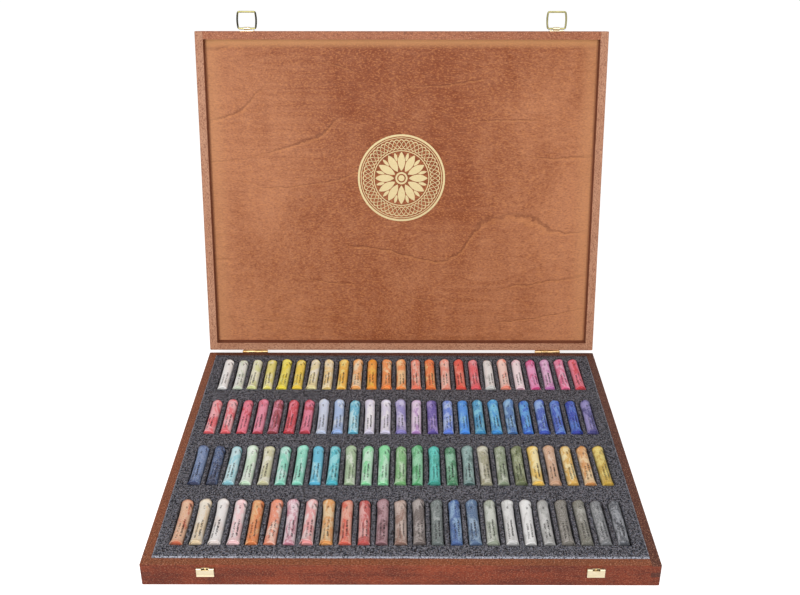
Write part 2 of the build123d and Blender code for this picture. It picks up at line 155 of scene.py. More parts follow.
class Shader:
    """The nodes of a material or a world, built by plain calls."""

    def __init__(self, name: str, of_world: bool = False) -> None:
        """Starts an empty material or world.

        Args:
            name: Its name.
            of_world: Whether it is a world.
        """
        self.owner = (bpy.data.worlds if of_world else bpy.data.materials).new(name)
        self.owner.use_nodes = True
        self.tree = self.owner.node_tree
        self.tree.nodes.clear()

    def node(
        self,
        kind: str,
        settings: Mapping[str, object] | None = None,
        inputs: Mapping[int | str, object] | None = None,
    ) -> bpy.types.Node:
        """Adds any node.

        Args:
            kind: The node's type, without the ShaderNode prefix.
            settings: Its properties, set before its sockets.
            inputs: Values, sockets or fields, by the input socket's name or number.

        Returns:
            The node.
        """
        made = self.tree.nodes.new("ShaderNode" + kind)
        for name, value in (settings or {}).items():
            setattr(made, name, value)
        for key, value in (inputs or {}).items():
            source = value.socket if isinstance(value, Field) else value
            if isinstance(source, bpy.types.NodeSocket):
                self.tree.links.new(source, made.inputs[key])
            else:
                made.inputs[key].default_value = source
        return made

    def place(self) -> bpy.types.NodeSocket:
        """The point in the frame's own axes."""
        return self.node("TexCoord").outputs["Object"]

    def facing(self) -> bpy.types.NodeSocket:
        """The surface's direction in the frame's own axes."""
        return self.node("TexCoord").outputs["Normal"]

    def unwrapped(self) -> tuple[Field, Field]:
        """The piece's own two surface coordinates."""
        split = self.node("SeparateXYZ", None, {0: self.node("TexCoord").outputs["UV"]})
        return Field(self, split.outputs[0]), Field(self, split.outputs[1])

    def attribute(self, name: str) -> bpy.types.Node:
        """The node that reads a named attribute of the mesh."""
        return self.node("Attribute", {"attribute_name": name})

    def seen(self) -> Field:
        """Tells rays that look, straight, off a gloss or through glass, from rays that light.

        Returns:
            1 for a ray that looks, 0 for any other.
        """
        rays = self.node("LightPath").outputs
        kinds = ("Is Camera Ray", "Is Glossy Ray", "Is Transmission Ray")
        eye, gloss, glass = (Field(self, rays[kind]) for kind in kinds)
        return eye.at_least(gloss).at_least(glass)

    def dot(self, vector: bpy.types.NodeSocket, direction: Sequence[float]) -> Field:
        """How far a vector reaches along a direction."""
        inputs = {0: vector, 1: tuple(direction)}
        return Field(self, self.node("VectorMath", {"operation": "DOT_PRODUCT"}, inputs).outputs[1])

    def join(self, x: Field | float, y: Field | float, z: Field | float) -> bpy.types.NodeSocket:
        """A vector from three numbers."""
        return self.node("CombineXYZ", None, {0: x, 1: y, 2: z}).outputs[0]

    def noise(
        self,
        at: bpy.types.NodeSocket,
        scale: float,
        detail: float = 2.0,
        roughness: float = 0.5,
        distortion: float = 0.0,
    ) -> Field:
        """Soft random variation about 0.5.

        Args:
            at: The coordinates.
            scale: Lumps for each metre.
            detail: Octaves of finer variation.
            roughness: How strong the finer octaves are.
            distortion: How far the pattern is swirled.

        Returns:
            The variation.
        """
        inputs = {
            "Vector": at,
            "Scale": scale,
            "Detail": detail,
            "Roughness": roughness,
            "Distortion": distortion,
        }
        return Field(self, self.node("TexNoise", None, inputs).outputs[0])

    def cells(self, at: bpy.types.NodeSocket, scale: float) -> Field:
        """The distance to the nearest of a crowd of random points, in cell widths."""
        return Field(self, self.node("TexVoronoi", None, {"Vector": at, "Scale": scale}).outputs[0])

    def mix(
        self,
        share: Field | float,
        first: bpy.types.NodeSocket | Colour,
        second: bpy.types.NodeSocket | Colour,
    ) -> bpy.types.NodeSocket:
        """The first colour where share is 0, the second where it is 1."""
        made = self.node("Mix", {"data_type": "RGBA"}, {0: share, 6: first, 7: second})
        return made.outputs[2]

    def relief(self, height: Field, distance: float, strength: float) -> bpy.types.NodeSocket:
        """A surface direction bent by a height.

        Args:
            height: The relief, from 0 to 1.
            distance: How far, in metres, a height of 1 stands out.
            strength: The share of the bend that is used.

        Returns:
            The bent direction.
        """
        inputs = {"Height": height, "Distance": distance, "Strength": strength}
        return self.node("Bump", None, inputs).outputs[0]

    def finish(self, **inputs: object) -> bpy.types.Material:
        """Adds the Principled shader and the output.

        Args:
            **inputs: The Principled shader's sockets, with underscores for spaces.

        Returns:
            The finished material.
        """
        named = {name.replace("_", " "): value for name, value in inputs.items()}
        surface = self.node("BsdfPrincipled", None, named)
        self.node("OutputMaterial", None, {0: surface.outputs[0]})
        return self.owner


# ----------------------------------------------------------------------------------------- finishes
@dataclass(frozen=True)
class StainedWood:
    """Red-brown stained hardwood with fine open pores under a satin lacquer."""

    name: str
    pale: str
    deep: str
    pore: str
    end_grain: str
    shaded_inner_face: str
    rim: str
    roughness: float = 0.5
    fleck: str = "eeb692"
    pore_depth: float = 0.12 * MM

    def material(
        self, grain: Vector, across: Vector, inward: Vector, rimward: Vector
    ) -> bpy.types.Material:
        """Makes the wood for one direction of grain.

        Args:
            grain: The direction that the fibres run in.
            across: A direction at right angles to it.
            inward: The direction that the tray's inner face looks in, whose faces are painted
                darker as painted shade.
            rimward: The direction that the rim looks in, whose faces take the rim colour as painted
                light.

        Returns:
            The material.
        """
        shader = Shader(self.name)
        here = shader.place()
        run = shader.dot(here, grain)
        side = shader.dot(here, across)
        rise = shader.dot(here, grain.cross(across))
        bands = shader.noise(shader.join(run * 0.07, side, rise), 110, 3, 0.6, 0.4)
        fibres = shader.noise(shader.join(run * 0.06, side, rise), 1500, 2)
        pores = shader.noise(shader.join(run * 0.5, side, rise), 780, 1).step(0.54, 0.62)
        flecks = shader.noise(shader.join(run * 0.6, rise, side), 1000, 1).step(0.54, 0.66)
        blotches = shader.noise(here, 26, 2)
        tone = bands * 0.4 + fibres * 0.2 + blotches * 0.4
        colour = shader.mix(tone.step(0.36, 0.64), paint(self.deep), paint(self.pale))
        facing = shader.facing()
        ends = abs(shader.dot(facing, grain)).step(0.85, 0.97)
        colour = shader.mix(ends * 0.75, colour, paint(self.end_grain))
        # Painted shade: the inner faces, in the tray's recess, are painted darker.
        inside = shader.dot(facing, inward).step(0.85, 0.97)
        colour = shader.mix(inside * 0.8, colour, paint(self.shaded_inner_face))
        # Painted light: faces that look rimward take the rim colour, painted paler on the base wood
        # as if more brightly lit, and show more flecks and pores.
        rim = shader.dot(facing, rimward).step(0.85, 0.97)
        colour = shader.mix(rim * 0.5, colour, paint(self.rim))
        colour = shader.mix(flecks * (rim * 0.2 + 0.14), colour, paint(self.fleck))
        colour = shader.mix(pores * (rim * 0.2 + 0.4), colour, paint(self.pore))
        return shader.finish(
            Base_Color=colour,
            Roughness=self.roughness + fibres * 0.1,
            Normal=shader.relief(fibres * 0.5 - pores * 0.8, self.pore_depth, 0.5),
            Specular_IOR_Level=0.2,
            Coat_Weight=0.03,
            Coat_Roughness=0.3,
        )


@dataclass(frozen=True)
class PeeledVeneer:
    """Rotary-cut birch veneer, stained, with wandering growth lines and a flecked shimmer."""

    name: str
    pale: str
    deep: str
    line: str
    glow: str
    # The edge share and colours below paint light on the panel's edges: a painted glow along its
    # sides and under the top rail, and a painted shadow line beside the side rails.
    painted_edge_share: float = 0.85
    line_spacing: float = 66 * MM
    line_sway: float = 240 * MM
    line_waver: float = 12 * MM
    line_crest: tuple[float, float] = (0.989, 0.9998)
    glow_lag: float = 0.22
    painted_side_glow: str = "d09668"
    painted_top_glow: str = "d49a66"
    fleck_depth: float = 0.12 * MM

    def material(
        self, middle: Vector, width_axis: Vector, height_axis: Vector, half: tuple[float, float]
    ) -> bpy.types.Material:
        """Makes the veneer for one panel.

        Args:
            middle: The panel's middle.
            width_axis: The direction along the panel's width.
            height_axis: The direction up the panel.
            half: Half of the panel's visible width and height.

        Returns:
            The material.
        """
        shader = Shader(self.name)
        here = shader.place()
        u = shader.dot(here, width_axis) - middle.dot(width_axis)
        v = shader.dot(here, height_axis) - middle.dot(height_axis)
        flat = shader.join(u, v, 0.0)
        sway = shader.noise(shader.join(u, v * 1.3, 0.0), 3.4, 1, 0.4, 0.2)
        waver = shader.noise(flat, 40, 3, 0.6)
        wandered = v + sway * self.line_sway + waver * self.line_waver
        phase = wandered * (2 * math.pi / self.line_spacing)
        shown = shader.noise(flat, 7, 1).step(0.43, 0.60)
        lines = phase.sine().step(*self.line_crest) * shown
        beside = (phase + self.glow_lag).sine().step(*self.line_crest) * shown
        ripples = shader.noise(shader.join(u * 0.4 + sway * 0.3, v, 0.0), 170, 3, 0.65, 0.9)
        flecks = shader.noise(shader.join(u * 0.5, v + waver * 0.004, sway * 0.2), 560, 2, 0.7)
        clouds = shader.noise(flat, 6, 2, 0.5, 0.4)
        streaks = shader.noise(shader.join(u, v * 0.35, sway * 0.1), 30, 2, 0.6, 0.3)
        across, up = abs(u * (1 / half[0])), v * (1 / half[1])
        # Painted light: the tone is paler towards the left and right edges, a painted reflection,
        # and a little darker towards the top, a painted shade.
        tone = ripples * 0.3 + clouds * 0.34 + streaks * 0.22 + across.step(0.05, 0.95) * 0.17
        colour = shader.mix((tone - up * 0.04).step(0.30, 0.72), paint(self.deep), paint(self.pale))
        colour = shader.mix(flecks.step(0.50, 0.66) * 0.40, colour, paint(self.glow))
        colour = shader.mix(flecks.step(0.48, 0.32) * 0.36, colour, paint(self.line))
        colour = shader.mix(lines * 0.36, colour, paint(self.line))
        colour = shader.mix(beside * 0.22, colour, paint(self.glow))
        # Painted light on the panel's front face: a painted glow of reflected light along its sides
        # and under the top rail, then a painted shadow line beside the side rails.
        inside = shader.dot(shader.facing(), width_axis.cross(height_axis)).step(0.5, 0.9)
        painted_edges = inside * self.painted_edge_share
        side_glow, top_glow = across.step(0.88, 0.965) * painted_edges, up.step(0.91, 0.965) * painted_edges
        colour = shader.mix(side_glow * 0.4, colour, paint(self.painted_side_glow))
        colour = shader.mix(top_glow * 0.9, colour, paint(self.painted_top_glow))
        colour = shader.mix(across.step(0.970, 0.979) * painted_edges * 0.6, colour, paint(self.line))
        return shader.finish(
            Base_Color=colour,
            Roughness=0.46 + flecks * 0.14,
            Normal=shader.relief(flecks * 0.7 + ripples * 0.5, self.fleck_depth, 0.3),
            Specular_IOR_Level=0.15,
            Coat_Weight=0.03,
            Coat_Roughness=0.35,
        )


@dataclass(frozen=True)
class CellularFoam:
    """Soft grey foam, speckled by its open cells."""

    name: str
    pale: str
    deep: str
    cell_size: float = 1.1 * MM
    cell_depth: float = 0.8 * MM
    warm: str = "75605c"
    cool: str = "566486"
    cut_edge: str = "b4b6c2"

    def material(self, half: tuple[float, float]) -> bpy.types.Material:
        """Makes the foam.

        Args:
            half: Half of the sheet's width and depth. Its cut edges catch the light.

        Returns:
            The material.
        """
        shader = Shader(self.name)
        here = shader.place()
        pits = shader.cells(here, 1 / self.cell_size).step(0.5, 0.12)
        specks = shader.noise(here, 740, 1, 0.6)
        grain = shader.noise(here, 1500, 2, 0.7)
        clumps = shader.noise(here, 360, 1)
        tint = shader.noise(here, 420, 1)
        # The pits of the open cells lower the tone a little: painted shade in the cells.
        tone = specks * 0.55 + grain * 0.15 + clumps * 0.3 - pits * 0.1
        colour = shader.mix(tone.step(0.41, 0.60), paint(self.deep), paint(self.pale))
        colour = shader.mix(tint.step(0.58, 0.70) * 0.3, colour, paint(self.warm))
        colour = shader.mix(tint.step(0.40, 0.30) * 0.3, colour, paint(self.cool))
        sideways = abs(shader.dot(here, (1, 0, 0))) - half[0]
        lengthways = abs(shader.dot(here, (0, 1, 0))) - half[1]
        edge = sideways.at_least(lengthways).step(-1.8 * MM, -0.6 * MM)
        colour = shader.mix(edge * specks.step(0.35, 0.6) * 0.8, colour, paint(self.cut_edge))
        return shader.finish(
            Base_Color=colour,
            Roughness=0.95,
            Normal=shader.relief(specks * 0.8 - pits * 0.7, self.cell_depth, 0.9),
            Specular_IOR_Level=0.2,
        )


@dataclass(frozen=True)
class Brass:
    """Polished yellow metal with a little haze."""

    name: str
    bright: str
    dull: str
    roughness: float

    def hazed(self, shader: Shader) -> tuple[bpy.types.NodeSocket, Field]:
        """The metal's colour under its haze, and the haze."""
        haze = shader.noise(shader.place(), 160, 2)
        return shader.mix(haze.step(0.35, 0.75), paint(self.bright), paint(self.dull)), haze

    def material(self) -> bpy.types.Material:
        """Makes the metal.

        Returns:
            The material.
        """
        shader = Shader(self.name)
        colour, haze = self.hazed(shader)
        return shader.finish(Base_Color=colour, Metallic=1.0, Roughness=self.roughness + haze * 0.1)


@dataclass(frozen=True)
class LoopWire(Brass):
    """Drawn brass wire, plain on its outer bar, with a painted dark reflection along its two sides.
    """

    painted_dark_reflection: str
    bright_bar: float = 2.2 * MM

    def loop_material(
        self, middle: float, half_width: float, reflection_share: float
    ) -> bpy.types.Material:
        """Makes the metal for one loop.

        Args:
            middle: The loop's middle in X.
            half_width: Half of its outer width.
            reflection_share: How strong the painted dark reflection is, from 0 to 1.

        Returns:
            The material.
        """
        shader = Shader(self.name)
        colour, _ = self.hazed(shader)
        outward = abs(shader.dot(shader.place(), (1, 0, 0)) - middle)
        side = half_width - self.bright_bar
        sides = outward.step(side - 1 * MM, side)
        # Painted reflection: the side bars are painted nearly black, standing for the dark
        # surroundings that they reflect.
        colour = shader.mix(sides * reflection_share, colour, paint(self.painted_dark_reflection))
        return shader.finish(
            Base_Color=colour, Metallic=1.0 - sides * 0.4, Roughness=self.roughness + sides * 0.3
        )


@dataclass(frozen=True)
class Chalk:
    """Soft pigment: dry, matt and a little crumbly. Its colour is an attribute of the mesh."""

    name: str
    dust: str = "ffffff"
    grime: str = "20181a"
    grain_depth: float = 0.2 * MM

    def material(self) -> bpy.types.Material:
        """Makes the pigment.

        Returns:
            The material.
        """
        shader = Shader(self.name)
        here = shader.place()
        grains = shader.noise(here, 1600, 3, 0.7)
        scuffs = shader.noise(here, 240, 2)
        own = shader.attribute(Stick.PIGMENT).outputs["Color"]
        colour = shader.mix(grains.step(0.3, 0.75) * 0.16, own, paint(self.dust))
        colour = shader.mix(scuffs.step(0.55, 0.8) * 0.2, colour, paint(self.grime))
        return shader.finish(
            Base_Color=colour,
            Roughness=0.95,
            Normal=shader.relief(grains, self.grain_depth, 0.8),
            Specular_IOR_Level=0.15,
        )


@dataclass(frozen=True)
class WrappingPaper:
    """Thin paper round a stick, tinted and smudged by its pigment, with rows of plain ticks.

    The piece's first surface coordinate runs round the stick from its top and the second along it
    from its middle, both in metres.
    """

    name: str
    fibre: str = "ffffff"
    smear: str = "4a3a3c"
    ink: str = "140e12"
    fold_shade: str = "1c1418"
    crease_depth: float = 0.3 * MM
    stained_end: tuple[float, float] = (29 * MM, 35 * MM)
    tick_height: float = 1.25 * MM
    bold_row: tuple[float, float, float] = (2.2 * MM, -25 * MM, 2 * MM)
    light_row: tuple[float, float, float] = (-1.9 * MM, -29 * MM, -3 * MM)
    far_row: tuple[float, float, float] = (0.2 * MM, 21 * MM, 25 * MM)
    fold: tuple[float, float, float] = (10.6 * MM, 26 * MM, 30 * MM)
    wander: float = 3 * MM

    def material(self) -> bpy.types.Material:
        """Makes the paper.

        Returns:
            The material.
        """
        shader = Shader(self.name)
        round_stick, along = shader.unwrapped()
        pigment = shader.attribute(Stick.PIGMENT).outputs["Color"]
        wrapper = shader.attribute(Stick.WRAPPER).outputs["Color"]
        smudge = Field(shader, shader.attribute(Stick.SMUDGE).outputs["Fac"])
        chance = Field(shader, shader.attribute(Stick.CHANCE).outputs["Fac"])
        smears = shader.noise(shader.join(round_stick, along * 0.5, chance * 9), 90, 4, 0.7, 0.6)
        streaks = shader.noise(shader.join(round_stick, along * 0.2, chance * 5), 420, 3, 0.6)
        fibres = shader.noise(shader.join(round_stick, along, chance * 3), 1100, 2)
        cover = (smears * 0.8 + streaks * 0.2 + smudge * 0.3 - 0.15).step(0.48, 0.58)
        colour = shader.mix(cover * 0.88, wrapper, pigment)
        colour = shader.mix(fibres.step(0.42, 0.72) * 0.3, colour, paint(self.fibre))
        colour = shader.mix(streaks.step(0.62, 0.75) * 0.16, colour, paint(self.smear))
        colour = shader.mix(abs(along).step(*self.stained_end) * 0.35, colour, pigment)
        round_stick = round_stick + (chance - 0.5) * self.wander
        breaks = shader.noise(shader.join(round_stick * 0.5, along, chance), 820, 1)
        bold, light, far = (
            self._ticks(round_stick, along, row)
            for row in (self.bold_row, self.light_row, self.far_row)
        )
        marks = (bold * 0.95).at_least(light * 0.75).at_least(far * 0.7) * breaks.step(0.43, 0.50)
        colour = shader.mix(marks * (chance * 0.15 + 0.85), colour, paint(self.ink))
        # Painted shade: a dark slanted fold line near the far end of some papers stands for the
        # shade in a fold.
        middle, start, end = self.fold
        slanted = round_stick * 0.6 + along * 0.3 - chance * self.wander
        fold = abs(slanted - middle).step(1.5 * MM, 0.6 * MM)
        fold = fold * self._stretch(along, start, end) * chance.step(0.75, 0.45)
        colour = shader.mix(fold * 0.7, colour, paint(self.fold_shade))
        return shader.finish(
            Base_Color=colour,
            Roughness=0.78,
            Normal=shader.relief(streaks * 0.7 + fibres * 0.3, self.crease_depth, 0.8),
            Specular_IOR_Level=0.3,
        )

    def _ticks(self, round_stick: Field, along: Field, row: tuple[float, float, float]) -> Field:
        """A band for one row of ticks.

        Args:
            round_stick: The place round the stick.
            along: The place along it.
            row: The row's place round the stick, and its two ends along it.

        Returns:
            1 in the row and 0 outside it.
        """
        middle, start, end = row
        band = abs(round_stick - middle).step(self.tick_height, self.tick_height * 0.7)
        return band * self._stretch(along, start, end)

    def _stretch(self, along: Field, start: float, end: float) -> Field:
        """A stretch of the stick's length, soft over its last millimetre."""
        return along.step(start - 1 * MM, start) * along.step(end + 1 * MM, end)


@dataclass(frozen=True)
class GoldFoil:
    """Pale gold foil pressed into the veneer."""

    name: str
    colour: str
    worn: str = "b98e58"
    rub_depth: float = 0.05 * MM

    def material(self) -> bpy.types.Material:
        """Makes the foil.

        Returns:
            The material.
        """
        shader = Shader(self.name)
        rub = shader.noise(shader.place(), 500, 3, 0.7)
        colour = shader.mix(rub.step(0.45, 0.8) * 0.25, paint(self.colour), paint(self.worn))
        return shader.finish(
            Base_Color=colour,
            Metallic=0.25,
            Roughness=0.5 + rub * 0.15,
            Normal=shader.relief(rub, self.rub_depth, 0.4),
        )


# ------------------------------------------------------------------------------------------- meshes
def grid_faces(
    rows: int, columns: int, close_rows: bool, close_columns: bool, copies: int = 1
) -> Array:
    """Numbers the quads of one or more grids of points laid out row after row.

    Args:
        rows: Rows of points in each grid.
        columns: Points in each row.
        close_rows: Whether the last row joins the first.
        close_columns: Whether the last column joins the first.
        copies: How many such grids follow each other.

    Returns:
        Four point numbers for each quad.
    """
    down = np.arange(rows if close_rows else rows - 1)[:, None]
    over = np.arange(columns if close_columns else columns - 1)[None, :]
    next_down, next_over = (down + 1) % rows, (over + 1) % columns
    corners = [(down, over), (down, next_over), (next_down, next_over), (next_down, over)]
    quads = np.stack([(a * columns + b).ravel() for a, b in corners], axis=1)
    starts = np.arange(copies)[:, None, None] * rows * columns
    return (quads[None] + starts).reshape(-1, 4)


def mesh_object(
    name: str,
    points: Array,
    faces: Array,
    weld: float = 0.0,
    layers: Mapping[str, Array] | None = None,
) -> bpy.types.Object:
    """Makes a smooth mesh object at the origin.

    Args:
        name: The object's name.
        points: The points, three coordinates in the last axis.
        faces: The point numbers of each face.
        weld: Points that round to the same multiple of this length become one. 0 welds none.
        layers: Attributes by name, a number or a colour for each point.

    Returns:
        The object, in the scene.
    """
    flat = points.reshape(-1, 3)
    layers = dict(layers or {})
    if weld:
        keys = np.floor(flat / weld + 0.25).astype(np.int64)
        _, first, number = np.unique(keys, axis=0, return_index=True, return_inverse=True)
        flat, faces = flat[first], number.reshape(-1)[faces]
        layers = {layer: values[first] for layer, values in layers.items()}
    mesh = bpy.data.meshes.new(name)
    kept = [list(dict.fromkeys(face)) for face in faces.tolist()]
    mesh.from_pydata(flat.tolist(), [], [face for face in kept if len(face) > 2])
    mesh.polygons.foreach_set("use_smooth", np.ones(len(mesh.polygons), bool))
    for layer, values in layers.items():
        kind, slot = ("FLOAT_COLOR", "color") if values.ndim == 2 else ("FLOAT", "value")
        made_layer = mesh.attributes.new(layer, kind, "POINT")
        made_layer.data.foreach_set(slot, values.astype(np.float32).ravel())
    made = bpy.data.objects.new(name, mesh)
    bpy.context.scene.collection.objects.link(made)
    return made


def dress(piece: bpy.types.Object, material: bpy.types.Material) -> None:
    """Puts one material on all of a piece.

    Args:
        piece: The piece.
        material: The material.
    """
    if piece.data.materials:
        for place in piece.material_slots:
            place.material = material
    else:
        piece.data.materials.append(material)


# ----------------------------------------------------------------------------------- wood and metal
@dataclass
class LidAxes:
    """The open lid's own directions, worked out from its hinge joint."""

    hinge: Vector
    lean: float

    @classmethod
    def from_joints(cls, joints: Sequence[Mapping[str, object]]) -> LidAxes:
        """Reads them from the frame's joints.

        Args:
            joints: The frame's joints.

        Returns:
            The lid's axes.
        """
        swing = next(joint for joint in joints if joint["name"] == "lid_hinge")
        return cls(Vector(swing["pos_m"]), -math.radians(swing["range_deg"][0]))

    @property
    def up(self) -> Vector:
        """From the hinge along the lid to its catches."""
        return Vector((0.0, -math.cos(self.lean), math.sin(self.lean)))

    @property
    def back(self) -> Vector:
        """From the lid's rim through its thickness."""
        return Vector((0.0, math.sin(self.lean), math.cos(self.lean)))


@dataclass
class Woodwork:
    """The finger-jointed walls and rails and their two plywood panels."""

    nodes: Mapping[str, bpy.types.Object]
    lid: LidAxes
    base_wood: StainedWood = StainedWood(
        "base_wood", "78331c", "531d0e", "330e07", "522116", "5b2214", "945939"
    )
    # A darker copy of the base wood, as painted shade, for the walls that lie away from the light.
    side_wood: StainedWood = StainedWood(
        "side_wood", "5e2e20", "431c13", "28100c", "411a11", "41200f", "563024"
    )
    lid_wood: StainedWood = StainedWood(
        "lid_wood", "a06244", "80432b", "61301f", "723d28", "925735", "a06241"
    )
    lid_side_wood: StainedWood = StainedWood(
        "lid_side_wood", "b5866d", "986248", "6f3e2b", "723d28", "642b15", "ae7f62"
    )
    lid_veneer: PeeledVeneer = PeeledVeneer("lid_veneer", "b07451", "7b3a19", "54230d", "cc8852")
    base_veneer: PeeledVeneer = PeeledVeneer(
        "base_veneer", "a8714a", "825234", "62371f", "b98258", painted_edge_share=0.0
    )

    def dress(self) -> None:
        """Gives every wooden node its grain."""
        x_axis, y_axis = Vector((1, 0, 0)), Vector((0, 1, 0))
        up, rise, front = self.lid.up, Vector((0, 0, 1)), -self.lid.back
        # The right and back walls take side_wood, the painted-shade copy of base_wood.
        grains = {
            "base_front_wall": (self.base_wood, x_axis, y_axis, y_axis, rise),
            "base_back_wall": (self.side_wood, x_axis, y_axis, -y_axis, rise),
            "base_left_wall": (self.base_wood, y_axis, x_axis, x_axis, rise),
            "base_right_wall": (self.side_wood, y_axis, x_axis, -x_axis, rise),
            "lid_front_rail": (self.lid_wood, x_axis, up, -up, front),
            "lid_back_rail": (self.lid_side_wood, x_axis, up, up, front),
            "lid_left_rail": (self.lid_side_wood, up, x_axis, x_axis, front),
            "lid_right_rail": (self.lid_side_wood, up, x_axis, -x_axis, front),
        }
        for name, (wood, *directions) in grains.items():
            dress(self.nodes[name], wood.material(*directions))
        self._panel("lid_panel", self.lid_veneer, self.lid.up)
        self._panel("base_bottom_panel", self.base_veneer, y_axis)

    def _panel(self, node: str, veneer: PeeledVeneer, up: Vector) -> None:
        """Dresses one plywood panel.

        Args:
            node: The panel's node.
            veneer: Its finish.
            up: The direction that counts as up on it.
        """
        low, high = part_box(node)
        half = ((high.x - low.x) / 2, (high - low).dot(up) / 2)
        dress(self.nodes[node], veneer.material((low + high) / 2, Vector((1, 0, 0)), up, half))


@dataclass
class Hardware:
    """The hinges, catches and their screws and nails."""

    nodes: Mapping[str, bpy.types.Object]
    hinge: Brass = Brass("hinge_brass", "c8ac80", "a88654", 0.32)
    catch: Brass = Brass("catch_brass", "cbbfa3", "c4b798", 0.3)
    wire: LoopWire = LoopWire("loop_wire", "a39c6a", "85804e", 0.3, "120f06")
    fastener: Brass = Brass("fastener_brass", "e9d09a", "b08d52", 0.3)

    def dress(self) -> None:
        """Gives every metal node its finish."""
        kinds = {
            "_leaf": self.hinge,
            "_pin": self.hinge,
            "_keeper": self.catch,
            "_plate": self.catch,
            "_screws": self.fastener,
            "_nails": self.fastener,
        }
        for ending, brass in kinds.items():
            material = brass.material()
            for name, node in self.nodes.items():
                if name.endswith(ending):
                    dress(node, material)
        # The strength of the painted dark reflection on each loop's sides.
        for side, reflection_share in (("left", 0.95), ("right", 0.2)):
            name = f"catch_{side}_loop"
            low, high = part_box(name)
            half_width = (high.x - low.x) / 2
            wire = self.wire.loop_material((low.x + high.x) / 2, half_width, reflection_share)
            dress(self.nodes[name], wire)


